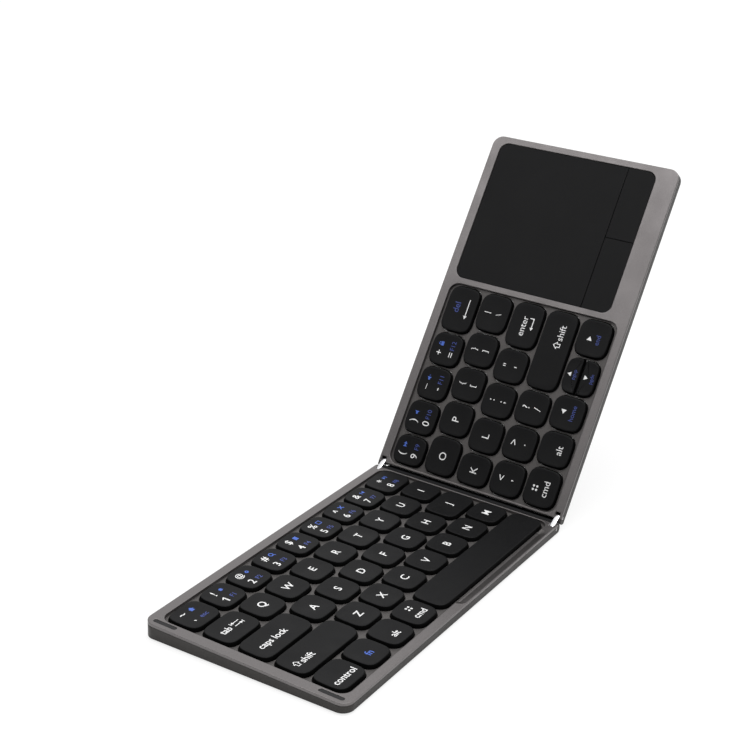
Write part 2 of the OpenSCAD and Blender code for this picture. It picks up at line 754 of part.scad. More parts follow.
// Socket frame: z = 0 is the mouth of the socket, at the back wall
module at_socket()
    translate([socket_s, half_w - 0.15, socket_z - socket_h / 2]) rotate([-90, 0, 0])
        children();

module socket_opening()
    at_socket() translate([0, 0, -3]) linear_extrude(6)
        oblong(socket_w + 0.2, socket_h + 0.2);

module charging_socket() color("#c9cacc") right_half() at_socket() {
    translate([0, 0, -socket_l]) linear_extrude(socket_l) difference() {
        oblong(socket_w, socket_h);
        oblong(socket_w - 2 * socket_t, socket_h - 2 * socket_t);
    }
    translate([0, 0, -socket_l]) linear_extrude(1)
        oblong(socket_w - 2 * socket_t + eps, socket_h - 2 * socket_t + eps);
    translate([-3.35, -0.35, -socket_l]) cube([6.7, 0.7, socket_l - 1.2]);
}

bumper_depth = 0.55;

module bumper_plan(grow = 0)
    translate([half_l - rim_end / 2 - 0.4, bumper_y + bumper_l / 2]) rotate(90)
        oblong(bumper_l + 2 * grow, bumper_w + 2 * grow);

module end_bumpers() color("#17181a") left_half() both_edges()
    translate([0, 0, -bumper_depth]) linear_extrude(bumper_depth - 0.15) bumper_plan(-0.05);

module foot_plan(grow = 0)
    translate([half_l / 2, 0]) oblong(foot_l + 2 * grow, foot_w + 2 * grow);

module feet()
    underside() for (y = [-1, 1]) translate([0, y * foot_span / 2, -foot_h])
        linear_extrude(foot_h + foot_groove) foot_plan();

module left_feet() color("#202022") left_half() feet();
module right_feet() color("#202022") right_half() feet();

module screws()
    for (s = screw_s, y = [screw_y, screw_y_back])
        translate([s, y, base_z(y) - base_t + screw_sink]) {
            cylinder(r = screw_head_r, h = screw_head_t);
            cylinder(r = screw_r, h = -cover_h - 0.3 - base_z(y) + base_t - screw_sink);
        }

module left_screws() color("#2c2c2e") left_half() screws();
module right_screws() color("#2c2c2e") right_half() screws();

module magnets(s, w, z)
    for (y = magnet_y) translate([s, y, z - magnet_t]) cube([w, magnet_l, magnet_t]);

module left_magnets() color("#b8bcc2") left_half()
    magnets(left_end + ledge + 0.1, rim_end - wall - ledge - 0.2, -cover_h);
module right_magnets() color("#b8bcc2") right_half()
    magnets(half_l - wall - 2.4, 2.2, floor_z);

// ---- what is drawn ------------------------------------------------------------------

left_top_cover();
left_bottom_cover();
right_top_cover();
right_bottom_cover();
left_key_plate();
right_key_plate();
left_scissors();
right_scissors();
touchpad();
touchpad_left_button();
touchpad_right_button();
hinge_links();
hinge_pins();
hinge_spine();
flex_cable();
battery();
controller_board();
charging_socket();
end_bumpers();
left_feet();
right_feet();
left_magnets();
right_magnets();
left_screws();
right_screws();
for (name = LEFT_KEYS) left_keys(name);
for (name = RIGHT_KEYS) right_keys(name);
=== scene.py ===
"""Folding keyboard, half open: its looks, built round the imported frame.

Sizes are in millimetres, as in the part's source, and MM turns them into metres. Each half has
a deck frame: x to the right, y to the back, and z = 0 on the plane of the metal rim. On the
left half x starts at the outer end, and on the right half at the hinge.
"""

import math

import bmesh
import bpy
from mathutils import Matrix, Vector


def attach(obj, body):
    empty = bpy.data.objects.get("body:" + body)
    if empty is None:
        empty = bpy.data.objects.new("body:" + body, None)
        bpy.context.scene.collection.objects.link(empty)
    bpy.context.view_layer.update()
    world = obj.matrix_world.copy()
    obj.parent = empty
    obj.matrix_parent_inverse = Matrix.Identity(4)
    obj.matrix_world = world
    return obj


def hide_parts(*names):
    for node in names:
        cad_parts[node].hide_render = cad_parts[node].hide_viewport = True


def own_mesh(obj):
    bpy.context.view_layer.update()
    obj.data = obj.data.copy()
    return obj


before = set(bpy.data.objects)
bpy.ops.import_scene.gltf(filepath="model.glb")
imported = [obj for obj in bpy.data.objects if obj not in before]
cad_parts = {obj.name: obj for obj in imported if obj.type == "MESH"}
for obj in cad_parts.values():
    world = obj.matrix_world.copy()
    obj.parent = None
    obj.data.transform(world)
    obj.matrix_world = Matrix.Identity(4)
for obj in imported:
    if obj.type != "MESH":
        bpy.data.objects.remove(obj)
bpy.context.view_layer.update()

# ---- sizes --------------------------------------------------------------------------

MM = 0.001
HALF_L, HALF_W = 169, 98
LEFT_EXTRA, RIGHT_EXTRA = 0.4, 1.7
FRONT_H, BACK_H = 4.4, 7.0
FOLD = math.radians(55.3)
COVER_H, FLOOR_T = 1.35, 0.45
CORNER_R, POCKET_R, TOUCH_R = 5, 4.8, 4.5
RIM_FRONT, RIM_BACK, RIM_END = 4.2, 4.6, 4.7
HINGE_LIP, TOUCH_LIP, TOUCH_BAR = 1, 1.4, 2.9
TOUCH_L, TOUCH_FRONT = 70.8, 10.7
KEY_PITCH, KEY_GAP, ROW_MARGIN, BAR_MARGIN = 17.5, 1, 0.25, 0.45
KEY_PROUD, CAP_H, CAP_TAPER, CAP_R = 0.5, 2.2, 0.65, 4.9
DISH, SPLIT_GAP, CAP_CLEAR = 0.2, 0.6, 0.25
PIN_Z, PIN_IN, CLOSED_GAP = 2.25, 0.9, 2.1
EAR_T, LINK_T, LINK_CLEAR, LINK_R = 1.2, 2, 0.15, 1.5
FOOT_H = 0.8

WEDGE = math.atan((BACK_H - FRONT_H) / HALF_W)
PIN_C = PIN_Z + CLOSED_GAP / 2
POCKET_W = HALF_W - RIM_FRONT - RIM_BACK
LEFT_END = HALF_L - RIM_END
RIGHT_END = HALF_L - TOUCH_LIP - TOUCH_L - TOUCH_BAR
TOUCH_S0 = RIGHT_END + TOUCH_BAR
TOUCH_S1 = HALF_L - TOUCH_LIP

# Scoop for the thumbs in the front rim: its round ends' middles, and its section
SCOOP_X0, SCOOP_X1 = 88.3, 157
SCOOP_DEPTH, SCOOP_EDGE, SCOOP_LOW_R, SCOOP_OVER = 1.1, 0.5, 0.6, 0.3

# Rounding of the metal edges, and the least angle of an edge that counts as sharp
EDGE, FINE_EDGE = 0.22, 0.08
SHARP = math.radians(35)

# On the softened shells: the widest bend that is shaded smooth, and the area in square
# millimetres from which a face is shaded flat
SMOOTH_BEND, LARGE_AREA = math.radians(28), 20

# How far the pocket floors reach under the rim, and the most that the touchpad's bed may at
# the end wall
UNDER_RIM, UNDER_END = 0.6, 0.15

# Flat cable: how much further its visible part reaches at each end than the CAD node, and how
# far from the pins' middles it is cut
STRIP_REACH, STRIP_PAST = 1.5, 0.3


def shift(x, y, z):
    return Matrix.Translation((x * MM, y * MM, z * MM))


def fold_by(angle):
    return Matrix.Rotation(-angle, 4, "Y")


LEFT_DECK = (Matrix.Rotation(WEDGE, 4, "X")
             @ shift(-HALF_L / 2, -HALF_W / 2, (FRONT_H + BACK_H) / 2))
LINK = LEFT_DECK @ shift(HALF_L - PIN_IN, 0, -PIN_Z) @ fold_by(FOLD / 2)
RIGHT_DECK = LINK @ shift(2 * PIN_C, 0, 0) @ fold_by(FOLD / 2) @ shift(-PIN_IN, 0, PIN_Z)

# ---- materials ----------------------------------------------------------------------


def new_material(name, colour, metallic, roughness):
    material = bpy.data.materials.new(name)
    material.use_nodes = True
    shader = material.node_tree.nodes["Principled BSDF"]
    shader.inputs["Base Color"].default_value = (*colour, 1)
    shader.inputs["Metallic"].default_value = metallic
    shader.inputs["Roughness"].default_value = roughness
    return material


def noise(material, scale, detail, stretch=(1, 1, 1)):
    """A noise in the piece's own coordinates, with about `scale` cells to the metre."""
    tree = material.node_tree
    place = tree.nodes.new("ShaderNodeTexCoord")
    mapping = tree.nodes.new("ShaderNodeMapping")
    texture = tree.nodes.new("ShaderNodeTexNoise")
    mapping.inputs["Scale"].default_value = stretch
    texture.inputs["Scale"].default_value = scale
    texture.inputs["Detail"].default_value = detail
    tree.links.new(place.outputs["Object"], mapping.inputs["Vector"])
    tree.links.new(mapping.outputs["Vector"], texture.inputs["Vector"])
    return texture.outputs["Fac"]


def vary_colour(material, fac, dark, light):
    tree = material.node_tree
    ramp = tree.nodes.new("ShaderNodeValToRGB")
    ramp.color_ramp.elements[0].position = 0.3
    ramp.color_ramp.elements[1].position = 0.7
    ramp.color_ramp.elements[0].color = (*dark, 1)
    ramp.color_ramp.elements[1].color = (*light, 1)
    tree.links.new(fac, ramp.inputs["Fac"])
    tree.links.new(ramp.outputs["Color"], tree.nodes["Principled BSDF"].inputs["Base Color"])


def vary_roughness(material, fac, low, high):
    tree = material.node_tree
    spread = tree.nodes.new("ShaderNodeMapRange")
    spread.inputs["From Min"].default_value = 0.3
    spread.inputs["From Max"].default_value = 0.7
    spread.inputs["To Min"].default_value = low
    spread.inputs["To Max"].default_value = high
    tree.links.new(fac, spread.inputs["Value"])
    tree.links.new(spread.outputs["Result"], tree.nodes["Principled BSDF"].inputs["Roughness"])


def bump(material, fac, height):
    """Bumps of the given height in metres."""
    tree = material.node_tree
    node = tree.nodes.new("ShaderNodeBump")
    node.inputs["Strength"].default_value = 1
    node.inputs["Distance"].default_value = height
    tree.links.new(fac, node.inputs["Height"])
    tree.links.new(node.outputs["Normal"], tree.nodes["Principled BSDF"].inputs["Normal"])


def shaded(name, colour, metallic, roughness, spread, grain, height, tone=0.08, mottle=70,
           stretch=(1, 1, 1)):
    """A surface with a fine grain, slow changes of gloss and a little tone in its colour."""
    material = new_material(name, colour, metallic, roughness)
    fine = noise(material, grain, 3, stretch)
    slow = noise(material, mottle, 4)
    dark = [c * (1 - tone) for c in colour]
    light = [min(1, c * (1 + tone)) for c in colour]
    vary_colour(material, fine, dark, light)
    vary_roughness(material, slow, roughness - spread, roughness + spread)
    bump(material, fine, height)
    return material


METAL = shaded("anodised_metal", (0.190, 0.178, 0.178), 0.85, 0.36, 0.05, 2600, 6e-6, 0.10)
# The lower shell: the anodised metal made darker, which paints the shade on its walls
SHADED_METAL_LOW = shaded("lower_shell_painted_shade", (0.055, 0.052, 0.050), 0.8, 0.42, 0.05, 2600, 6e-6, 0.10)
# The thumb scoop's sloping faces: the rim's metal made darker, which paints the shade on them
SHADED_SCOOP_METAL = shaded("scoop_painted_shade", (0.115, 0.108, 0.106), 0.85, 0.40, 0.05, 2600, 6e-6, 0.10)
# The pocket floor: metal darker than the rim's, which paints the shade in the pocket between the
# keys
SHADED_FLOOR_METAL = shaded("pocket_floor", (0.115, 0.108, 0.106), 0.75, 0.5, 0.06, 2600, 6e-6, 0.10)
KEY_TOP = shaded("key_top", (0.0055, 0.0055, 0.006), 0, 0.46, 0.05, 5200, 5e-6, 0.12, 120)
# The caps' sides are darker than their tops, which paints the shade on the sides
SHADED_KEY_SKIRT = shaded("key_side_painted_shade", (0.002, 0.002, 0.002), 0, 0.48, 0.05, 5200, 4e-6, 0.12, 120)
TOUCH = shaded("touchpad_surface", (0.0125, 0.0125, 0.013), 0, 0.46, 0.05, 6400, 3e-6, 0.10, 50)
CHROME = shaded("polished_hinge", (0.84, 0.84, 0.86), 1, 0.12, 0.04, 1500, 1e-6, 0.02, 400,
                (1, 1, 8))
STEEL = shaded("steel", (0.56, 0.56, 0.56), 1, 0.32, 0.06, 1800, 3e-6, 0.05, 200, (8, 1, 1))
PIN_STEEL = shaded("pin_steel", (0.56, 0.56, 0.565), 1, 0.34, 0.05, 1800, 3e-6, 0.05)
DARK_STEEL = shaded("blackened_steel", (0.05, 0.05, 0.052), 0.8, 0.38, 0.05, 2200, 3e-6)
BLACK = shaded("black_plastic", (0.008, 0.008, 0.009), 0, 0.55, 0.06, 3600, 5e-6, 0.15)
RUBBER = shaded("black_rubber", (0.014, 0.014, 0.015), 0, 0.78, 0.06, 2400, 1.2e-5, 0.2)
LEVER = shaded("lever_plastic", (0.62, 0.61, 0.57), 0, 0.5, 0.05, 3000, 4e-6, 0.04)
WRAP = shaded("battery_wrap", (0.10, 0.11, 0.13), 0, 0.4, 0.08, 500, 1e-5, 0.1)
BOARD = shaded("solder_mask", (0.012, 0.10, 0.04), 0, 0.35, 0.05, 900, 4e-6, 0.25)
WHITE_PRINT = shaded("white_legend", (0.86, 0.86, 0.86), 0, 0.5, 0.05, 7000, 2e-6, 0.05)
BLUE_PRINT = shaded("blue_legend", (0.06, 0.14, 0.56), 0, 0.5, 0.05, 7000, 2e-6, 0.08)
DIM_PRINT = shaded("dim_blue_legend", (0.035, 0.06, 0.27), 0, 0.5, 0.05, 7000, 2e-6, 0.08)

# Matte plastics reflect little of the studio
for matte, level in ((KEY_TOP, 0.14), (SHADED_KEY_SKIRT, 0.08), (TOUCH, 0.07), (BLACK, 0.12)):
    matte.node_tree.nodes["Principled BSDF"].inputs["Specular IOR Level"].default_value = level

# ---- mesh helpers -------------------------------------------------------------------


def add_piece(name, mesh, materials, body, nodes=()):
    """Puts a mesh in the scene as a piece that rides on a body and stands for CAD nodes."""
    piece = bpy.data.objects.new(name, mesh)
    bpy.context.scene.collection.objects.link(piece)
    for material in materials:
        mesh.materials.append(material)
    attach(piece, body)
    if nodes:
        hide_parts(*nodes)
    return piece


def arc(cx, cy, r, start, end, steps=8):
    """Points on an arc, with the angles in degrees."""
    angles = [math.radians(start + (end - start) * i / steps) for i in range(steps + 1)]
    return [(cx + r * math.cos(a), cy + r * math.sin(a)) for a in angles]


def rounded_rect(x0, y0, x1, y1, r, steps):
    return (arc(x1 - r, y1 - r, r, 0, 90, steps) + arc(x0 + r, y1 - r, r, 90, 180, steps)
            + arc(x0 + r, y0 + r, r, 180, 270, steps) + arc(x1 - r, y0 + r, r, 270, 360, steps))


def plate(outline, holes, top, thickness, edge, deck, tool=None):
    """Mesh of a flat plate with holes and rounded edges, less a cutting tool's mesh, from
    outlines in millimetres."""
    curve = bpy.data.curves.new("outline", "CURVE")
    curve.dimensions = "2D"
    curve.fill_mode = "BOTH"
    curve.extrude = thickness / 2 - edge
    curve.bevel_depth = edge
    curve.bevel_resolution = 2
    curve.offset = -edge
    for points in [outline] + holes:
        spline = curve.splines.new("POLY")
        spline.points.add(len(points) - 1)
        for point, (x, y) in zip(spline.points, points):
            point.co = (x, y, 0, 1)
        spline.use_cyclic_u = True
    carrier = bpy.data.objects.new("outline", curve)
    bpy.context.scene.collection.objects.link(carrier)
    bpy.context.view_layer.update()
    evaluated = carrier.evaluated_get(bpy.context.evaluated_depsgraph_get())
    mesh = bpy.data.meshes.new_from_object(evaluated)
    bpy.data.objects.remove(carrier)
    bpy.data.curves.remove(curve)
    mesh.transform(Matrix.Translation((0, 0, top - thickness / 2)))
    if tool:
        mesh = cut(mesh, tool)
    finish_mesh(mesh)
    mesh.transform(deck @ Matrix.Diagonal((MM, MM, MM, 1)))
    return mesh


def cut(mesh, tool):
    """The mesh without what lies in the tool's mesh."""
    work = bmesh.new()
    work.from_mesh(mesh)
    bmesh.ops.remove_doubles(work, verts=work.verts, dist=1e-4)
    work.to_mesh(mesh)
    work.free()
    whole, cutter = (bpy.data.objects.new(m.name, m) for m in (mesh, tool))
    for carrier in (whole, cutter):
        bpy.context.scene.collection.objects.link(carrier)
    modifier = whole.modifiers.new("cut", "BOOLEAN")
    modifier.operation = "DIFFERENCE"
    modifier.solver = "EXACT"
    modifier.object = cutter
    bpy.context.view_layer.update()
    evaluated = whole.evaluated_get(bpy.context.evaluated_depsgraph_get())
    result = bpy.data.meshes.new_from_object(evaluated)
    for carrier in (whole, cutter):
        bpy.data.objects.remove(carrier)
    return result


def finish_mesh(mesh):
    """Joins doubled points and shades the mesh smooth between its flat faces and sharp edges."""
    work = bmesh.new()
    work.from_mesh(mesh)
    bmesh.ops.remove_doubles(work, verts=work.verts, dist=1e-4)
    bmesh.ops.recalc_face_normals(work, faces=work.faces)
    for face in work.faces:
        face.smooth = abs(face.normal.z) < 0.9999
    for edge in work.edges:
        flat = any(not face.smooth for face in edge.link_faces)
        sharp = len(edge.link_faces) != 2 or edge.calc_face_angle(0) > SHARP
        edge.smooth = not (flat or sharp)
    work.to_mesh(mesh)
    work.free()


def softened(name, node, edge, material, body, deck=None, low=0, extra=0):
    """A copy of a CAD piece with its sharp edges rounded, which stands for it. What lies past
    `low` along a deck is moved on by `extra`. Large faces are shaded flat."""
    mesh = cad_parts[node].data.copy()
    mesh.materials.clear()
    work = bmesh.new()
    work.from_mesh(mesh)
    if deck:
        back = deck.inverted()
        for vert in work.verts:
            along = (back @ vert.co).x
            if (along - low * MM) * extra > 0:
                vert.co += deck.to_3x3() @ Vector((extra * MM, 0, 0))
    bmesh.ops.scale(work, vec=(1 / MM,) * 3, verts=work.verts)
    bmesh.ops.remove_doubles(work, verts=work.verts, dist=1e-3)
    bmesh.ops.dissolve_limit(work, angle_limit=math.radians(1), verts=work.verts,
                             edges=work.edges)
    sharp = [e for e in work.edges
             if len(e.link_faces) == 2 and e.calc_face_angle(0) > SHARP]
    bmesh.ops.bevel(work, geom=sharp, offset=edge, segments=2, profile=0.5,
                    affect="EDGES", clamp_overlap=True)
    for face in work.faces:
        face.smooth = face.calc_area() < LARGE_AREA
    for e in work.edges:
        e.smooth = len(e.link_faces) == 2 and e.calc_face_angle(0) < SMOOTH_BEND
    bmesh.ops.scale(work, vec=(MM,) * 3, verts=work.verts)
    work.to_mesh(mesh)
    work.free()
    return add_piece(name, mesh, [material], body, [node])


# ---- covers -------------------------------------------------------------------------

NOTCH_Y0 = EAR_T
NOTCH_Y1 = EAR_T + LINK_T + 2 * LINK_CLEAR
NOTCH_S = PIN_IN + LINK_R + 0.5


def half_outline(extra):
    """Outline of a half in hinge distance, with the two notches for the links."""
    far = [(HALF_L + extra - CORNER_R, y) for y in (CORNER_R, HALF_W - CORNER_R)]
    front = [(0, NOTCH_Y1), (NOTCH_S, NOTCH_Y1), (NOTCH_S, NOTCH_Y0), (0, NOTCH_Y0), (0, 0)]
    back = [(x, HALF_W - y) for x, y in reversed(front)]
    return (front + arc(*far[0], CORNER_R, -90, 0) + arc(*far[1], CORNER_R, 0, 90) + back)


def pocket(end, grow=0):
    return rounded_rect(HINGE_LIP - grow, RIM_FRONT - grow, end + grow,
                        HALF_W - RIM_BACK + grow, POCKET_R + grow, 10)


def touch_recess(grow=0):
    return rounded_rect(TOUCH_S0 - grow, TOUCH_FRONT - grow, TOUCH_S1 + min(grow, UNDER_END),
                        HALF_W - RIM_BACK + grow, TOUCH_R + grow, 10)


def row_y(row):
    return RIM_FRONT + POCKET_W / 2 + (row - 2) * KEY_PITCH


def cells(widths, start, end):
    """Start and end of each key in a row of widths in key pitches. The first and the last key
    share what the others leave."""
    share = (end - start - KEY_PITCH * sum(widths[1:-1])) / (widths[0] + widths[-1])
    edges = [start, start + round(share * widths[0], 2)]
    for width in widths[1:-1]:
        edges.append(edges[-1] + width * KEY_PITCH)
    return list(zip(edges, edges[1:] + [end]))


def opening(low, high, row):
    reach = (KEY_PITCH - KEY_GAP) / 2 + CAP_CLEAR
    inset = KEY_GAP / 2 - CAP_CLEAR
    return rounded_rect(low + inset, row_y(row) - reach, high - inset, row_y(row) + reach,
                        CAP_R + CAP_CLEAR, 6)


# ---- keys ---------------------------------------------------------------------------

LEFT_ROWS = [
    [(1.12, "left_modifier_keys", "control"), (1, "left_modifier_keys", "fn"),
     (1, "left_modifier_keys", "alt"), (1, "left_modifier_keys", "command"),
     (5.18, "space_bar", "")],
    [(2.30, "left_shift_key", "left_shift")] + [(1, "key_" + c, c) for c in "zxcvbn"]
    + [(1, "key_m", "m")],
    [(1.93, "left_modifier_keys", "caps")] + [(1, "key_" + c, c) for c in "asdfgh"]
    + [(1.37, "key_j", "j")],
    [(1.31, "left_modifier_keys", "tab")] + [(1, "key_" + c, c) for c in "qwertyu"]
    + [(0.99, "key_i", "i")],
    [(1.11, "left_number_keys", "esc")] + [(1, "left_number_keys", c) for c in "1234567"]
    + [(1.19, "left_number_keys", "8")],
]
RIGHT_ROWS = [
    [(1.12, "navigation_keys", "right_command"), (1, "navigation_keys", "alt"),
     (1, "navigation_keys", "home"), (1.06, "navigation_keys", "page"),
     (1.09, "navigation_keys", "end")],
    [(1, "symbol_keys", ","), (1, "symbol_keys", "."), (1, "symbol_keys", "/"),
     (2.27, "right_shift_key", "right_shift")],
    [(0.93, "key_k", "k"), (1, "key_l", "l"), (1, "symbol_keys", ";"), (1, "symbol_keys", "'"),
     (1.34, "enter_key", "enter")],
    [(1.13, "key_o", "o"), (1, "key_p", "p"), (1, "symbol_keys", "["), (1, "symbol_keys", "]"),
     (1.14, "symbol_keys", "\\")],
    [(0.90, "symbol_keys", "9"), (1, "symbol_keys", "0"), (1, "symbol_keys", "-"),
     (1, "symbol_keys", "="), (1.37, "delete_key", "delete")],
]


class Key:
    """One keycap's place and size: its cell's ends, its row and its middle."""

    def __init__(self, low, high, row, node, label, half=0):
        self.node, self.label, self.half = node, label, half
        self.w = high - low - KEY_GAP
        self.d = KEY_PITCH - KEY_GAP
        self.x = (low + high) / 2
        self.y = row_y(row)
        self.low, self.high, self.row = low, high, row
        if half:
            self.d = (self.d - SPLIT_GAP) / 2
            self.y += half * (self.d + SPLIT_GAP) / 2

    def top(self, x, y):
        """Height of the dished top over the key's skirt edge plane, in its own middle frame."""
        w = self.w / 2 - CAP_TAPER
        d = self.d / 2 - (CAP_TAPER if not self.half else CAP_TAPER / 2)
        along = min(1, abs(x) / w) ** max(2, 2 * w / d)
        across = min(1, abs(y) / d) ** 2
        return KEY_PROUD - DISH * (1 - along) * (1 - across)


def lay_out(rows, start, end):
    keys = []
    for row, entries in enumerate(rows):
        spans = cells([entry[0] for entry in entries], start, end)
        for (low, high), (_, node, label) in zip(spans, entries):
            if label == "page":
                keys.append(Key(low, high, row, node, "page_up", 1))
                keys.append(Key(low, high, row, node, "page_down", -1))
            else:
                keys.append(Key(low, high, row, node, label))
    return keys


LEFT_KEYS = lay_out(LEFT_ROWS, RIM_END + ROW_MARGIN, HALF_L - HINGE_LIP - ROW_MARGIN)
RIGHT_KEYS = lay_out(RIGHT_ROWS, HINGE_LIP + ROW_MARGIN, RIGHT_END - BAR_MARGIN)

# Section of a keycap from its lower edge up: how far in from the skirt, height below the top,
# and which of the two colours it has, 1 being the darker one that paints the shade on the sides
SECTION = [(0.75, -CAP_H, 1), (0.08, -CAP_H, 1), (0, -2.12, 1), (0, -1.7, 1), (0.12, -1.1, 1),
           (0.32, -0.5, 1), (0.42, -0.26, 1), (0.46, -0.17, 0), (0.53, -0.07, 0),
           (0.63, -0.015, 0), (0.78, 0.0, 0)]

# Outline of a keycap: points in a quarter, how squarely its sides bow, and the corners of a
# split key at the split. The dish is drawn in this many rings.
CAP_STEPS, CAP_BOW, SPLIT_R = 12, 3.9, 0.6
DISH_RINGS = 9


def superellipse(cx, cy, a, b, start):
    """Quarter of a superellipse from the start angle, whose sides bow more than an arc's."""
    points = []
    for i in range(CAP_STEPS + 1):
        angle = math.radians(start + 90 * i / CAP_STEPS)
        c, s = math.cos(angle), math.sin(angle)
        reach = (abs(c) ** CAP_BOW + abs(s) ** CAP_BOW) ** (-1 / CAP_BOW)
        points.append((cx + a * reach * c, cy + b * reach * s))
    return points


def cap_ring(key, inset):
    """Outline of a keycap, inset from its skirt, round its middle. A split key is nearly
    square on the side towards its other half."""
    w, d = key.w / 2 - inset, key.d / 2 - inset
    reach = min(w, d) if not key.half else min(w, 2 * d)
    ring = []
    for start in (0, 90, 180, 270):
        right = start in (0, 270)
        back = start < 180
        cx = (w - reach) * (1 if right else -1)
        if not key.half:
            ring += superellipse(cx, 0, reach, d, start)
        elif back == (key.half > 0):
            ring += superellipse(cx, -key.half * d, reach, 2 * d, start)
        else:
            x = (w - SPLIT_R) * (1 if right else -1)
            y = (d - SPLIT_R) * (1 if back else -1)
            ring += arc(x, y, SPLIT_R, start, start + 90, CAP_STEPS)
    return [p for p, last in zip(ring, ring[-1:] + ring) if math.dist(p, last) > 1e-6]


def keycap_mesh(work, key):
    """Adds one keycap to a bmesh, as rings from the lower edge up and into the dish."""
    rings = []
    for inset, drop, colour in SECTION:
        points = cap_ring(key, inset)
        rings.append(([(x, y, KEY_PROUD + drop) for x, y in points], colour))
    rim = cap_ring(key, SECTION[-1][0])
    for i in range(1, DISH_RINGS):
        t = 1 - i / DISH_RINGS
        rings.append(([(x * t, y * t, key.top(x * t, y * t)) for x, y in rim], 0))
    loops = [[work.verts.new((key.x + x, key.y + y, z)) for x, y, z in points]
             for points, _ in rings]
    count = len(loops[0])
    for i in range(1, len(loops)):
        for j in range(count):
            k = (j + 1) % count
            face = work.faces.new((loops[i - 1][j], loops[i - 1][k], loops[i][k], loops[i][j]))
            face.material_index = rings[i][1]
            face.smooth = True
    centre = work.verts.new((key.x, key.y, key.top(0, 0)))
    for j in range(count):
        face = work.faces.new((loops[-1][j], loops[-1][(j + 1) % count], centre))
        face.smooth = True


def add_keycaps(keys, deck):
    for node in sorted({key.node for key in keys}):
        work = bmesh.new()
        for key in keys:
            if key.node == node:
                keycap_mesh(work, key)
        mesh = bpy.data.meshes.new(node + "_cap")
        work.to_mesh(mesh)
        work.free()
        mesh.transform(deck @ Matrix.Diagonal((MM, MM, MM, 1)))
        add_piece(node + "_cap", mesh, [KEY_TOP, SHADED_KEY_SKIRT], node, [node])


# ---- legends ------------------------------------------------------------------------

glyphs = {}


def glyph(text, bold):
    """Points and flat triangles of a line of text 1 high, round its middle."""
    if (text, bold) in glyphs:
        return glyphs[text, bold]
    curve = bpy.data.curves.new("glyph", "FONT")
    curve.body = text
    curve.size = 100
    curve.offset = bold * 100
    curve.resolution_u = 4
    curve.align_x = "CENTER"
    carrier = bpy.data.objects.new("glyph", curve)
    bpy.context.scene.collection.objects.link(carrier)
    bpy.context.view_layer.update()
    evaluated = carrier.evaluated_get(bpy.context.evaluated_depsgraph_get())
    mesh = bpy.data.meshes.new_from_object(evaluated)
    points = [(v.co.x / 100, v.co.y / 100) for v in mesh.vertices]
    faces = [tuple(p.vertices) for p in mesh.polygons]
    bpy.data.objects.remove(carrier)
    bpy.data.curves.remove(curve)
    bpy.data.meshes.remove(mesh)
    middle = [(min(c) + max(c)) / 2 for c in zip(*points)]
    points = [(x - middle[0], y - middle[1]) for x, y in points]
    glyphs[text, bold] = points, faces
    return points, faces


def outlined(points, half):
    """Strips of twice the half width along a closed outline."""
    strips = []
    for p, q in zip(points, points[1:] + points[:1]):
        length = math.dist(p, q)
        ux, uy = (q[0] - p[0]) / length * half, (q[1] - p[1]) / length * half
        strips.append([(p[0] - ux + uy, p[1] - uy - ux), (q[0] + ux + uy, q[1] + uy - ux),
                       (q[0] + ux - uy, q[1] + uy + ux), (p[0] - ux - uy, p[1] - uy + ux)])
    return strips


SPEAKER = [(-0.5, -0.18), (-0.2, -0.18), (0.1, -0.45), (0.1, 0.45), (-0.2, 0.18), (-0.5, 0.18)]

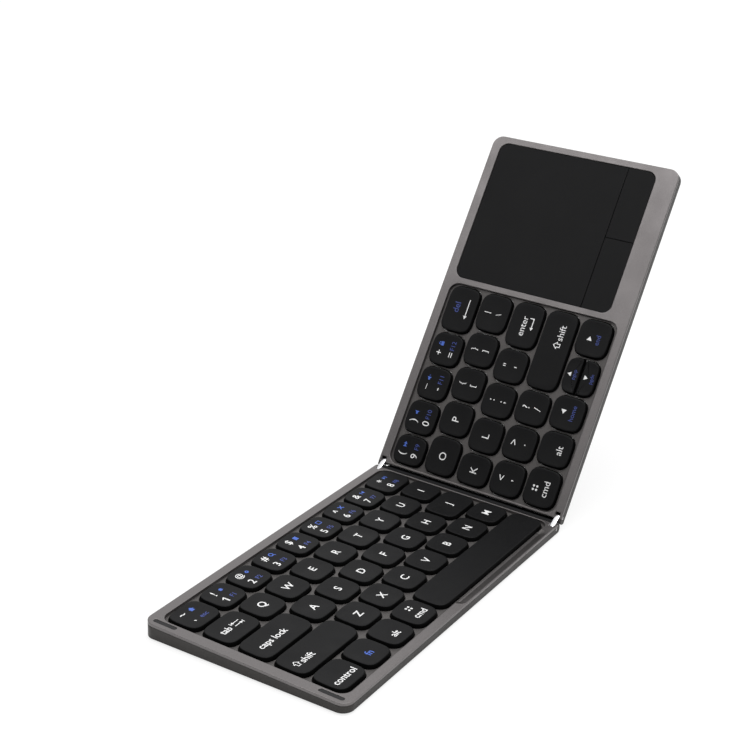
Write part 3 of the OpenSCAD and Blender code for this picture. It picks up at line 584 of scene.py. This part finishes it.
# Small marks, as polygons in a box of about 1
MARKS = {
    "up": [[(-0.5, -0.35), (0.5, -0.35), (0, 0.45)]],
    "down": [[(-0.5, 0.35), (0, -0.45), (0.5, 0.35)]],
    "left": [[(-0.45, 0), (0.35, -0.5), (0.35, 0.5)]],
    "right": [[(0.45, 0), (-0.35, 0.5), (-0.35, -0.5)]],
    "play": [[(-0.5, -0.4), (0.1, 0), (-0.5, 0.4)], [(0.25, -0.4), (0.4, -0.4), (0.4, 0.4),
             (0.25, 0.4)]],
    "back": [[(0.5, -0.4), (0.5, 0.4), (-0.1, 0)], [(-0.4, -0.4), (-0.25, -0.4), (-0.25, 0.4),
             (-0.4, 0.4)]],
    "next": [[(-0.5, -0.4), (0, 0), (-0.5, 0.4)], [(0, -0.4), (0.5, 0), (0, 0.4)]],
    "quiet": [SPEAKER],
    "soft": [SPEAKER, [(0.25, -0.06), (0.5, -0.06), (0.5, 0.06), (0.25, 0.06)]],
    "house": [[(-0.55, 0), (0.55, 0), (0, 0.5)], [(-0.36, -0.45), (0.36, -0.45), (0.36, 0),
              (-0.36, 0)]],
    "cut": [[(-0.5, -0.5), (-0.36, -0.5), (0.5, 0.36), (0.5, 0.5), (0.36, 0.5), (-0.5, -0.36)],
            [(0.36, -0.5), (0.5, -0.5), (0.5, -0.36), (-0.36, 0.5), (-0.5, 0.5), (-0.5, 0.36)]],
    "page": [[(-0.4, -0.5), (0.4, -0.5), (0.4, 0.5), (-0.4, 0.5)]],
    "frame": [[(-0.5, 0.36), (0.5, 0.36), (0.5, 0.5), (-0.5, 0.5)],
              [(-0.5, -0.5), (0.5, -0.5), (0.5, -0.36), (-0.5, -0.36)],
              [(-0.5, -0.36), (-0.36, -0.36), (-0.36, 0.36), (-0.5, 0.36)],
              [(0.36, -0.36), (0.5, -0.36), (0.5, 0.36), (0.36, 0.36)]],
    "lock": [[(-0.4, -0.5), (0.4, -0.5), (0.4, 0.08), (-0.4, 0.08)],
             [(-0.28, 0.08), (-0.16, 0.08), (-0.16, 0.38), (-0.28, 0.38)],
             [(0.16, 0.08), (0.28, 0.08), (0.28, 0.38), (0.16, 0.38)],
             [(-0.28, 0.38), (0.28, 0.38), (0.18, 0.5), (-0.18, 0.5)]],
    "disc": [arc(0, 0, 0.36, 0, 330, 11)],
    "spark": outlined(arc(0, 0, 0.24, 0, 330, 11), 0.1),
    "find": outlined(arc(-0.08, 0.1, 0.4, 0, 330, 11), 0.09)
            + [[(0.12, -0.22), (0.22, -0.12), (0.58, -0.46), (0.46, -0.58)]],
    "shift_arrow": outlined([(0, 0.55), (0.5, 0.02), (0.24, 0.02), (0.24, -0.5), (-0.24, -0.5),
                             (-0.24, 0.02), (-0.5, 0.02)], 0.055),
    "one": [[(0, -0.36), (0.13, -0.36), (0.13, 0.36), (0.03, 0.36), (0, 0.26)],
            [(0.03, 0.36), (-0.2, 0.2), (-0.2, 0.08), (0, 0.2), (0, 0.26)]],
    "long_left": [[(-1.6, 0), (-1.05, -0.3), (-1.05, 0.3)], [(-1.05, -0.07), (1.6, -0.07),
                  (1.6, 0.07), (-1.05, 0.07)]],
    "return": [[(-0.9, -0.2), (-0.45, -0.45), (-0.45, 0.05)],
               [(-0.45, -0.27), (0.9, -0.27), (0.9, -0.13), (-0.45, -0.13)],
               [(0.76, -0.13), (0.9, -0.13), (0.9, 0.4), (0.76, 0.4)]],
    "tab_arrows": [[(-0.75, 0.3), (-0.35, 0.08), (-0.35, 0.52)],
                   [(-0.35, 0.24), (0.65, 0.24), (0.65, 0.36), (-0.35, 0.36)],
                   [(0.75, -0.3), (0.35, -0.08), (0.35, -0.52)],
                   [(-0.65, -0.36), (0.35, -0.36), (0.35, -0.24), (-0.65, -0.24)],
                   [(-0.87, 0.05), (-0.77, 0.05), (-0.77, 0.55), (-0.87, 0.55)],
                   [(0.77, -0.55), (0.87, -0.55), (0.87, -0.05), (0.77, -0.05)]],
    "four_dots": [[(x + math.cos(a) * 0.17, y + math.sin(a) * 0.17)
                   for a in [i * math.pi / 6 for i in range(12)]]
                  for x in (-0.26, 0.26) for y in (-0.26, 0.26)],
}

# Sizes of the legends, the offset that makes the left half's bolder, and their three colours
LETTER, WORD, SMALL = 5.2, 4.5, 3.3
LEFT_BOLD, RIGHT_BOLD = 0.012, 0
WHITE, BLUE, DIM = 0, 1, 2

# What the keys of the number row hold beside their digit: the upper sign and a blue mark
NUMBER_MARKS = {"1": ("!", "disc"), "2": ("@", "spark"), "3": ("#", "find"),
                "4": ("$", "page"), "5": ("%", "frame"), "6": ("^", "cut"), "7": ("&", "back"),
                "8": ("*", "play"), "9": ("(", "next"), "0": (")", "quiet"),
                "-": ("_", "soft"), "=": ("+", "lock")}
NUMBERS = "1234567890-="
DIGIT_X, BLUE_X, UPPER_Y, LOWER_Y = -2.2, 2.4, 3.2, -3.2


def legend(key):
    """What is printed on a key: (text or mark, x, y, size, colour) round the key's middle."""
    label = key.label
    if len(label) == 1 and label.isalpha():
        return [(label.upper(), 0, 0, LETTER, WHITE)]
    if label in NUMBER_MARKS:
        upper, mark = NUMBER_MARKS[label]
        digit = ":one" if label == "1" else label
        upper_size = 4.1 if label == "2" else LETTER
        return [(upper, DIGIT_X, UPPER_Y, upper_size, WHITE),
                (digit, DIGIT_X, LOWER_Y, LETTER, WHITE),
                (":" + mark, BLUE_X, UPPER_Y, 2.5, BLUE),
                ("F%d" % (NUMBERS.index(label) + 1), BLUE_X, LOWER_Y, SMALL, DIM)]
    pairs = {",": "<", ".": ">", "/": "?", ";": ":", "'": '"', "[": "{", "]": "}", "\\": "|"}
    if label in pairs:
        size = 3.9 if label in "[]\\" else LETTER
        return [(pairs[label], 0, 3.0, size, WHITE), (label, 0, -2.8, size, WHITE)]
    return {
        "": [],
        "esc": [("~", -3.2, 3.4, LETTER, WHITE), ("`", -3.2, -3.2, LETTER, WHITE),
                (":house", 2.2, 3.4, 2.6, BLUE), ("esc", 2.4, -3.2, SMALL, DIM)],
        "tab": [("tab", -3.6, 0.2, WORD, WHITE), (":tab_arrows", 3.4, 0.2, 3.4, WHITE)],
        "caps": [("caps lock", -2.5, -0.9, WORD, WHITE)],
        "left_shift": [(":shift_arrow", -14.4, -0.7, 3.1, WHITE),
                       ("shift", -8.2, -1.1, WORD, WHITE)],
        "control": [("control", 0, -2.4, WORD, WHITE)],
        "fn": [("fn", 0, -1.2, WORD, BLUE)],
        "alt": [("alt", 0, -2.2, WORD, WHITE)],
        "command": [(":four_dots", 0.8, 3.0, 3.2, WHITE), ("cmd", 0.8, -2.4, WORD, WHITE)],
        "right_command": [(":four_dots", -0.8, 3.0, 3.2, WHITE), ("cmd", -0.3, -2.0, WORD, WHITE)],
        "home": [(":left", 0.6, 2.1, 2.6, WHITE), ("home", 0.6, -2.5, SMALL, DIM)],
        "end": [(":right", -0.4, 1.8, 2.6, WHITE), ("end", -0.4, -2.2, SMALL, DIM)],
        "page_up": [(":up", 0.2, 1.2, 2.2, WHITE), ("pgup", 0.3, -1.6, 2.5, DIM)],
        "page_down": [(":down", 0.2, 1.5, 2.2, WHITE), ("pgdn", 0.2, -1.6, 2.5, DIM)],
        "right_shift": [(":shift_arrow", 2.9, -1.3, 3.1, WHITE), ("shift", 9, -1.6, WORD, WHITE)],
        "enter": [("enter", -0.3, 0.6, WORD, WHITE), (":return", 1.2, -3.0, 3.4, WHITE)],
        "delete": [("del", 0.7, 2.2, WORD, DIM), (":long_left", 0.6, -3.6, 3.1, WHITE)],
    }[label]


# How far the legends lie over the caps
PRINT_LIFT = 0.025


def print_legend(work, key, item, colour, bold):
    """Adds one legend to a bmesh, lying on the key's dished top."""
    text, x0, y0, size, wanted = item
    if wanted != colour:
        return
    if len(text) > 1 and text[0] == ":":
        shapes = MARKS[text[1:]]
        points = [p for shape in shapes for p in shape]
        faces, start = [], 0
        for shape in shapes:
            faces.append(tuple(range(start, start + len(shape))))
            start += len(shape)
    else:
        points, faces = glyph(text, bold)
    verts = []
    for px, py in points:
        x, y = x0 + px * size, y0 + py * size
        verts.append(work.verts.new((key.x + x, key.y + y, key.top(x, y) + PRINT_LIFT)))
    for face in faces:
        if len(set(face)) > 2:
            made = work.faces.new([verts[i] for i in face])
            made.normal_update()
            if made.normal.z < 0:
                made.normal_flip()


def add_legends(keys, deck, bold):
    for node in sorted({key.node for key in keys}):
        for colour, name, material in ((WHITE, "white", WHITE_PRINT), (BLUE, "blue", BLUE_PRINT),
                                       (DIM, "dim", DIM_PRINT)):
            work = bmesh.new()
            for key in keys:
                if key.node == node:
                    for item in legend(key):
                        print_legend(work, key, item, colour, bold)
            if work.faces:
                mesh = bpy.data.meshes.new(node + "_" + name)
                work.to_mesh(mesh)
                mesh.transform(deck @ Matrix.Diagonal((MM, MM, MM, 1)))
                add_piece(node + "_" + name + "_print", mesh, [material], node)
            work.free()


# ---- building the pieces ------------------------------------------------------------


def flipped(outline):
    """An outline in hinge distance, in the left deck frame."""
    return [(HALF_L - x, y) for x, y in outline]


def bumper_outlines():
    """Recesses of the two pads in the left rim, in the left deck frame."""
    x, half_w, length, y = RIM_END / 2 + 0.4, 1, 11.5, 3.3
    made = []
    for low in (y, HALF_W - y - length):
        made.append(arc(x, low + length - half_w, half_w, 0, 180)
                    + arc(x, low + half_w, half_w, 180, 360))
    return made


def thumb_scoop():
    """Tool for the sloping cut in the rim in front of the space bar, in the left deck frame:
    the outline in the rim's plane, and a smaller one at the bottom of the cut."""
    over = 1 + SCOOP_OVER / SCOOP_DEPTH
    wide = (RIM_FRONT - SCOOP_EDGE - SCOOP_LOW_R) * over + SCOOP_LOW_R
    rings = []
    for r, z in ((SCOOP_LOW_R, -SCOOP_DEPTH), (wide, SCOOP_OVER)):
        outline = (arc(SCOOP_X1, RIM_FRONT, r, -90, 90, 16)
                   + arc(SCOOP_X0, RIM_FRONT, r, 90, 270, 16))
        rings.append([(x, y, z) for x, y in outline])
    work = bmesh.new()
    low, high = [[work.verts.new(p) for p in ring] for ring in rings]
    work.faces.new(low[::-1])
    work.faces.new(high)
    for i in range(len(low)):
        j = (i + 1) % len(low)
        work.faces.new((low[i], low[j], high[j], high[i]))
    mesh = bpy.data.meshes.new("thumb_scoop")
    work.to_mesh(mesh)
    work.free()
    return mesh


def add_left_cover():
    left_pocket = flipped(pocket(LEFT_END))
    rim = plate(flipped(half_outline(LEFT_EXTRA)), [left_pocket] + bumper_outlines(), 0, COVER_H,
                EDGE, LEFT_DECK, thumb_scoop())
    holes = [opening(k.low, k.high, k.row) for k in LEFT_KEYS]
    floor = plate(flipped(pocket(LEFT_END, UNDER_RIM)), holes, -COVER_H, FLOOR_T, FINE_EDGE,
                  LEFT_DECK)
    back = LEFT_DECK.inverted()
    # Faces sloping down into the thumb scoop get the second, darker metal, which paints their
    # shade
    for face in rim.polygons:
        x, y, z = (back @ face.center) / MM
        slope = (back.to_3x3() @ face.normal).z
        in_scoop = SCOOP_X0 - 5 < x < SCOOP_X1 + 5 and SCOOP_EDGE < y < RIM_FRONT + 0.5
        face.material_index = int(in_scoop and z < -0.02 and 0.5 < slope < 0.99)
    add_piece("left_rim", rim, [METAL, SHADED_SCOOP_METAL], "left_half", ["left_top_cover"])
    add_piece("left_pocket_floor", floor, [SHADED_FLOOR_METAL], "left_half")


def add_right_cover():
    rim = plate(half_outline(RIGHT_EXTRA), [pocket(RIGHT_END), touch_recess()], 0, COVER_H, EDGE,
                RIGHT_DECK)
    holes = [opening(k.low, k.high, k.row) for k in RIGHT_KEYS if k.half < 1]
    floor = plate(pocket(RIGHT_END, UNDER_RIM), holes, -COVER_H, FLOOR_T, FINE_EDGE, RIGHT_DECK)
    bed = plate(touch_recess(UNDER_RIM), [], -COVER_H, FLOOR_T, FINE_EDGE, RIGHT_DECK)
    add_piece("right_rim", rim, [METAL], "right_half", ["right_top_cover"])
    add_piece("right_pocket_floor", floor, [SHADED_FLOOR_METAL], "right_half")
    add_piece("touchpad_bed", bed, [BLACK], "right_half")


add_left_cover()
add_right_cover()
add_keycaps(LEFT_KEYS, LEFT_DECK)
add_keycaps(RIGHT_KEYS, RIGHT_DECK)
add_legends(LEFT_KEYS, LEFT_DECK, LEFT_BOLD)
add_legends(RIGHT_KEYS, RIGHT_DECK, RIGHT_BOLD)

softened("left_lower_shell", "left_bottom_cover", 0.3, SHADED_METAL_LOW, "left_half",
         LEFT_DECK, 6, -LEFT_EXTRA)
softened("right_lower_shell", "right_bottom_cover", 0.3, SHADED_METAL_LOW, "right_half",
         RIGHT_DECK, HALF_L - 6, RIGHT_EXTRA)
for piece_name, node_name, edge_r, look, finish, rides_on in (
        ("touchpad_surface", "touchpad", 0.12, TOUCH, "touch_glass", "right_half"),
        ("left_button_tile", "touchpad_left_button", 0.12, TOUCH, "button_plastic",
         "touchpad_left_button"),
        ("right_button_tile", "touchpad_right_button", 0.12, TOUCH, "button_plastic",
         "touchpad_right_button"),
        ("link_plates", "hinge_links", 0.2, CHROME, "hinge_chrome", "hinge_link"),
        ("pins", "hinge_pins", 0.12, PIN_STEEL, "hinge_steel", "hinge_link"),
        ("spine", "hinge_spine", 0.15, BLACK, "spine_plastic", "hinge_link"),
        ("left_foot_strips", "left_feet", 0.2, RUBBER, "pad_rubber", "left_half"),
        ("right_foot_strips", "right_feet", 0.2, RUBBER, "pad_rubber", "right_half"),
        ("rim_pads", "end_bumpers", 0.12, RUBBER, "pad_rubber", "left_half")):
    softened(piece_name, node_name, edge_r, look, rides_on)


def add_hinge_strip():
    """The flat cable's part between the halves; its parts inside the halves are cut off."""
    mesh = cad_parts["flex_cable"].data.copy()
    mesh.materials.clear()
    work = bmesh.new()
    work.from_mesh(mesh)
    along, across = [(LINK.to_3x3() @ Vector(v)).normalized() for v in ((1, 0, 0), (0, 1, 0))]
    middle = LINK @ Vector((0, HALF_W / 2 * MM, 0))
    for vert in work.verts:
        vert.co += across * math.copysign(STRIP_REACH * MM, (vert.co - middle).dot(across))
    for x, way in ((STRIP_PAST, -1), (2 * PIN_C - STRIP_PAST, 1)):
        done = bmesh.ops.bisect_plane(
            work, geom=work.verts[:] + work.edges[:] + work.faces[:],
            plane_co=LINK @ Vector((x * MM, 0, 0)), plane_no=along * way, clear_outer=True)
        rim = [g for g in done["geom_cut"] if isinstance(g, bmesh.types.BMEdge)]
        bmesh.ops.edgenet_fill(work, edges=rim)
    work.to_mesh(mesh)
    work.free()
    add_piece("hinge_strip", mesh, [BLACK], "hinge_link", ["flex_cable"])


def add_levers(node, keys, deck, body):
    """The crossed levers and domes of each key node, as one piece for each node, riding on the
    half."""
    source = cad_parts[node].data
    back = deck.inverted()
    places = [(back @ vert.co) / MM for vert in source.vertices]
    low, high = [pick(p.z for p in places) for pick in (min, max)]
    owners = [next((key.node for key in keys if key.low <= p.x <= key.high
                    and abs(p.y - row_y(key.row)) <= KEY_PITCH / 2), None) for p in places]
    for name in sorted({key.node for key in keys}):
        mesh = source.copy()
        mesh.materials.clear()
        work = bmesh.new()
        work.from_mesh(mesh)
        others = [vert for vert in work.verts if owners[vert.index] != name]
        bmesh.ops.delete(work, geom=others, context="VERTS")
        work.to_mesh(mesh)
        work.free()
        piece = add_piece(name + "_levers", mesh, [LEVER], body, [node])
        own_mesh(piece)


add_hinge_strip()
add_levers("left_scissors", LEFT_KEYS, LEFT_DECK, "left_half")
add_levers("right_scissors", RIGHT_KEYS, RIGHT_DECK, "right_half")

KEPT = {
    "left_key_plate": STEEL, "right_key_plate": STEEL, "battery": WRAP, "controller_board": BOARD,
    "charging_socket": STEEL, "left_magnets": STEEL, "right_magnets": STEEL,
    "left_screws": DARK_STEEL, "right_screws": DARK_STEEL,
}
for node, material in KEPT.items():
    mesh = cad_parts[node].data
    mesh.materials.clear()
    mesh.materials.append(material)

# ---- floor, light and camera --------------------------------------------------------


FLOOR_SIZE, FLOOR_GLOW, GLOW_SHARE = 12, 1.12, 0.7

# Direction towards which the world is brightest, and its strength away from it and towards it
BRIGHT_SIDE, DIM_WORLD, BRIGHT_WORLD = (0.45, 0, 0.9), 0.1, 1.15


def add_floor():
    """A pale floor that the camera sees as nearly white, with the object's shadow."""
    bpy.ops.mesh.primitive_plane_add(size=FLOOR_SIZE, location=(0, 0, -FOOT_H * MM))
    floor = bpy.context.object
    floor.name = "floor"
    material = new_material("pale_floor", (0.86, 0.86, 0.86), 0, 0.9)
    tree = material.node_tree
    shader = tree.nodes["Principled BSDF"]
    path = tree.nodes.new("ShaderNodeLightPath")
    glow = tree.nodes.new("ShaderNodeEmission")
    mix = tree.nodes.new("ShaderNodeMixShader")
    part = tree.nodes.new("ShaderNodeMath")
    part.operation = "MULTIPLY"
    part.inputs[1].default_value = GLOW_SHARE
    glow.inputs["Strength"].default_value = FLOOR_GLOW
    tree.links.new(path.outputs["Is Camera Ray"], part.inputs[0])
    tree.links.new(part.outputs[0], mix.inputs["Fac"])
    tree.links.new(shader.outputs[0], mix.inputs[1])
    tree.links.new(glow.outputs[0], mix.inputs[2])
    tree.links.new(mix.outputs[0], tree.nodes["Material Output"].inputs["Surface"])
    floor.data.materials.append(material)


def add_world():
    """Soft light from above and one side, and white where the camera sees it."""
    world = bpy.data.worlds.new("studio")
    world.use_nodes = True
    bpy.context.scene.world = world
    tree = world.node_tree
    back = tree.nodes["Background"]
    white = tree.nodes.new("ShaderNodeBackground")
    mix = tree.nodes.new("ShaderNodeMixShader")
    path = tree.nodes.new("ShaderNodeLightPath")
    place = tree.nodes.new("ShaderNodeTexCoord")
    toward = tree.nodes.new("ShaderNodeVectorMath")
    toward.operation = "DOT_PRODUCT"
    toward.inputs[1].default_value = BRIGHT_SIDE
    rise = tree.nodes.new("ShaderNodeMapRange")
    for name, value in (("From Min", 0.1), ("From Max", 0.9), ("To Min", DIM_WORLD),
                        ("To Max", BRIGHT_WORLD)):
        rise.inputs[name].default_value = value
    tree.links.new(place.outputs["Generated"], toward.inputs[0])
    tree.links.new(toward.outputs["Value"], rise.inputs["Value"])
    tree.links.new(rise.outputs["Result"], back.inputs["Strength"])
    back.inputs["Color"].default_value = (1, 1, 1, 1)
    white.inputs["Color"].default_value = (1, 1, 1, 1)
    tree.links.new(path.outputs["Is Camera Ray"], mix.inputs["Fac"])
    tree.links.new(back.outputs[0], mix.inputs[1])
    tree.links.new(white.outputs[0], mix.inputs[2])
    tree.links.new(mix.outputs[0], tree.nodes["World Output"].inputs["Surface"])


LAMP_AIM = (0.03, 0, 0.05)


def add_lamp(name, place, aim, size, power):
    """A round soft lamp, in metres and watts."""
    data = bpy.data.lights.new(name, "AREA")
    data.shape = "DISK"
    data.size = size
    data.energy = power
    lamp = bpy.data.objects.new(name, data)
    lamp.location = place
    lamp.rotation_mode = "QUATERNION"
    lamp.rotation_quaternion = (Vector(aim) - Vector(place)).to_track_quat("-Z", "Y")
    bpy.context.scene.collection.objects.link(lamp)


# The photograph's view: where the camera looks, from how far, and how it is turned
VIEW_TARGET = Vector((39.6, 20.9, 76.1)) * MM
VIEW_DISTANCE = 677.7 * MM
VIEW_AZIMUTH = math.radians(-57.19)
VIEW_ELEVATION = math.radians(22.92)
VIEW_ROLL = math.radians(0.78)
FOCAL_PX, FRAME_PX = 1569.3, 750


def add_camera():
    data = bpy.data.cameras.new("camera")
    data.sensor_width = 36
    data.lens = FOCAL_PX / FRAME_PX * data.sensor_width
    data.clip_start = 0.01
    camera = bpy.data.objects.new("camera", data)
    back = Vector((math.sin(VIEW_AZIMUTH) * math.cos(VIEW_ELEVATION),
                   -math.cos(VIEW_AZIMUTH) * math.cos(VIEW_ELEVATION),
                   math.sin(VIEW_ELEVATION)))
    level = Vector((0, 0, 1)).cross(back).normalized()
    right = Matrix.Rotation(VIEW_ROLL, 3, back) @ level
    up = back.cross(right)
    turn = Matrix((right, up, back)).transposed()
    camera.matrix_world = Matrix.Translation(VIEW_TARGET + back * VIEW_DISTANCE) @ turn.to_4x4()
    bpy.context.scene.collection.objects.link(camera)
    bpy.context.scene.camera = camera


add_floor()
add_world()
add_lamp("key_light", (0.1, -0.3, 1.8), LAMP_AIM, 1.5, 14)
add_lamp("side_light", (-0.9, 0.8, 1.9), LAMP_AIM, 1.2, 7)
add_camera()
bpy.context.scene.view_settings.view_transform = "Standard"
